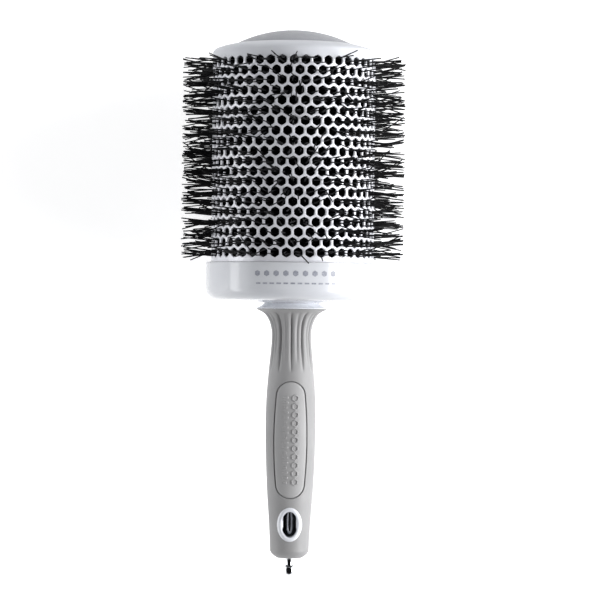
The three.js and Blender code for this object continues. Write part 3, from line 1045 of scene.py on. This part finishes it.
def core():
    """The handle's core: tenon, neck and bore tube, with a slot under the window."""
    groove_top = RING_GROOVE_Y + RING_GROOVE_WIDTH
    corners = [
        (WIRE_HOLE_R, CORE_TOP, 0.2),
        (TENON_R, CORE_TOP, 0.8),
        (TENON_R, groove_top, 0),
        (RING_GROOVE_R, groove_top, 0),
        (RING_GROOVE_R, RING_GROOVE_Y, 0),
        (TENON_R, RING_GROOVE_Y, 0),
        (TENON_R, TENON_END, 0.5),
        (CORE_TUBE_R, TENON_END - 2, 0.5),
        (CORE_TUBE_R, HANDLE_END + 0.3, 0.3),
        (BORE_R, HANDLE_END + 0.3, 0.4),
        (BORE_R, PIN_TIP + 3, 0),
        (WIRE_HOLE_R, PIN_TIP + 4.5, 0),
    ]
    points, faces = turned(filleted(corners, 4), 96)
    body = piece("core", points, faces, CORE, replaces=["handle_core"])
    cut(body, window_cutter(SKIRT_INSET - 0.08))
    smooth(body)


# ---------- sectioning pin ----------
def sectioning_pin():
    """Ball, waist, plug, shank, body with the seal's groove, and a long point."""
    steps = 29
    top_angle = math.acos(WAIST_R / BALL_R)
    ball = [(0, BALL_Y - BALL_R)]
    for k in range(1, steps + 1):
        angle = -math.pi / 2 + (top_angle + math.pi / 2) * k / steps
        ball.append((BALL_R * math.cos(angle), BALL_Y + BALL_R * math.sin(angle)))
    throat = [
        (WAIST_R, BALL_Y + BALL_R),
        (WAIST_R + 0.1, PLUG_BOTTOM - 1.6),
        (WAIST_R + 0.4, PLUG_BOTTOM - 0.6),
        (PIN_R, PLUG_BOTTOM),
    ]
    nose = [
        (SHANK_R, NOSE_BOTTOM),
        (2.9, NOSE_BOTTOM + 1.3),
        (PIN_R, NOSE_BOTTOM + 3.8),
        (PIN_R, NOSE_TOP),
    ]
    shoulder = [
        (PIN_R, BODY_TOP),
        (2.9, BODY_TOP + 3),
        (1.7, POINT_SHOULDER),
        (1.5, POINT_SHOULDER + 5),
    ]
    seat = PIN_R - 2 * SEAL_WIRE_R - 0.05
    profile = [
        *ball,
        *curve(throat, 12),
        (PIN_R, PLUG_TOP),
        (PIN_R - 0.25, PLUG_TOP + 0.4),
        (SHANK_R, PLUG_TOP + 1.6),
        *curve(nose, 16),
        (PIN_R, SEAL_Y - 0.85),
        (PIN_R - 0.1, SEAL_Y - 0.75),
        (seat, SEAL_Y - 0.75),
        (seat, SEAL_Y + 0.75),
        (PIN_R - 0.1, SEAL_Y + 0.75),
        (PIN_R, SEAL_Y + 0.85),
        (PIN_R, BODY_TOP - 0.4),
        *curve(shoulder, 10),
        (0.7, PIN_TIP - 1),
        (0.45, PIN_TIP - 0.25),
        (0.2, PIN_TIP - 0.04),
        (0, PIN_TIP),
    ]
    points, faces = turned(profile, 72)
    piece("pin", points, faces, CHROME, body="pin", replaces=["sectioning_pin"], sharp=30)


def seal():
    """The rubber ring in the pin's groove."""
    middle = PIN_R - SEAL_WIRE_R + 0.2
    circle = [
        (middle + SEAL_WIRE_R * math.cos(a), SEAL_Y + SEAL_WIRE_R * math.sin(a))
        for a in np.arange(16) * 2 * math.pi / 16
    ]
    points, faces = turned(circle, 72)
    piece("seal", points, faces, SEAL, body="pin_seal", replaces=["pin_ring"], sharp=60)


def finish_cad_nodes():
    """Materials for the hidden CAD nodes that stay as they are."""
    for name in ("wire_ferrule", "lock_ring"):
        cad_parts[name].data.materials.clear()
        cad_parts[name].data.materials.append(STEEL)


# ---------- studio ----------
def floor():
    """A large pale square that the brush lies on."""
    reach = 6
    corners = [(-reach, -reach, 0), (reach, -reach, 0), (reach, reach, 0), (-reach, reach, 0)]
    mesh = bpy.data.meshes.new("floor")
    mesh.from_pydata(corners, [], [(0, 1, 2, 3)])
    mesh.materials.append(floor_paint())
    linked("floor", mesh)


def softbox(name, place, size, power, mirrored=True):
    """A rectangular light that faces the brush; mirrored says whether glossy pieces reflect it."""
    light = bpy.data.lights.new(name, "AREA")
    light.shape = "RECTANGLE"
    light.size, light.size_y = size
    light.energy = power
    obj = linked(name, light)
    obj.location = place
    aim = Vector((0, 0, AXIS_Z)) - Vector(place)
    obj.rotation_euler = aim.to_track_quat("-Z", "Y").to_euler()
    obj.visible_glossy = mirrored


def background():
    """White walls under a dark oval ceiling, brighter on the right and dim beyond both ends."""
    world = bpy.data.worlds.new("studio")
    world.use_nodes = True
    tree = world.node_tree
    link = tree.links.new
    direction = tree.nodes.new("ShaderNodeTexCoord").outputs["Generated"]

    oval_ceiling = tree.nodes.new("ShaderNodeMapping")
    oval_ceiling.inputs["Scale"].default_value = (1 / 0.9, 1 / 1.06, 0)
    link(direction, oval_ceiling.inputs["Vector"])
    length = tree.nodes.new("ShaderNodeVectorMath")
    length.operation = "LENGTH"
    link(oval_ceiling.outputs["Vector"], length.inputs[0])
    ramp = tree.nodes.new("ShaderNodeValToRGB")
    ceiling, wall = ramp.color_ramp.elements
    ceiling.position, ceiling.color = 0.88, (0.012, 0.012, 0.013, 1)
    wall.position, wall.color = 1.0, (0.97, 0.985, 1, 1)
    link(length.outputs["Value"], ramp.inputs["Fac"])

    def multiplied(a, b):
        node = tree.nodes.new("ShaderNodeMath")
        node.operation = "MULTIPLY"
        link(a, node.inputs[0])
        link(b, node.inputs[1])
        return node.outputs["Value"]

    def mapped(source, from_low, from_high, to_low, to_high):
        node = tree.nodes.new("ShaderNodeMapRange")
        link(source, node.inputs["Value"])
        node.inputs["From Min"].default_value = from_low
        node.inputs["From Max"].default_value = from_high
        node.inputs["To Min"].default_value = to_low
        node.inputs["To Max"].default_value = to_high
        return node.outputs["Result"]

    split = tree.nodes.new("ShaderNodeSeparateXYZ")
    link(direction, split.inputs["Vector"])
    sideways = split.outputs["X"]
    left_to_right = mapped(sideways, -1, 1, 2.0, 3.0)
    off_the_ends = mapped(multiplied(sideways, sideways), 0.3, 1, 0.25, 1)
    shader = tree.nodes["Background"]
    link(multiplied(left_to_right, off_the_ends), shader.inputs["Strength"])
    link(ramp.outputs["Color"], shader.inputs["Color"])
    return world


def studio():
    """A white room with a low softbox on the right, a slim one on the left and a fill above."""
    bpy.context.scene.view_settings.view_transform = "Standard"
    bpy.context.scene.world = background()
    softbox("key", (1.15, 0, 0.58), (1.2, 0.7), 24)
    softbox("slim", (-1.2, -0.05, 0.24), (1.1, 0.3), 3.1)
    softbox("fill", (-0.5, 0, 2.4), (1.4, 1.4), 23, mirrored=False)


def camera():
    """Straight down on the front of the brush, close enough to show some perspective."""
    distance = 1.5
    frame_width = 0.2954  # at the height of the brush's axis
    view_x, view_y = 0.004, ORIGIN[1] + 0.0042  # middle of the picture
    data = bpy.data.cameras.new("camera")
    data.sensor_width = 36
    data.lens = data.sensor_width * distance / frame_width
    obj = linked("camera", data)
    obj.location = (view_x, view_y, AXIS_Z + distance)
    obj.rotation_euler = (0, 0, math.radians(0.6))
    bpy.context.scene.camera = obj


camera()
studio()
floor()
paint_tube(barrel())
bristles()
core_wires()
cap()
dome()
collar()
boss()
collar_print()
grip()
panels()
bezel()
core()
sectioning_pin()
seal()
finish_cad_nodes()
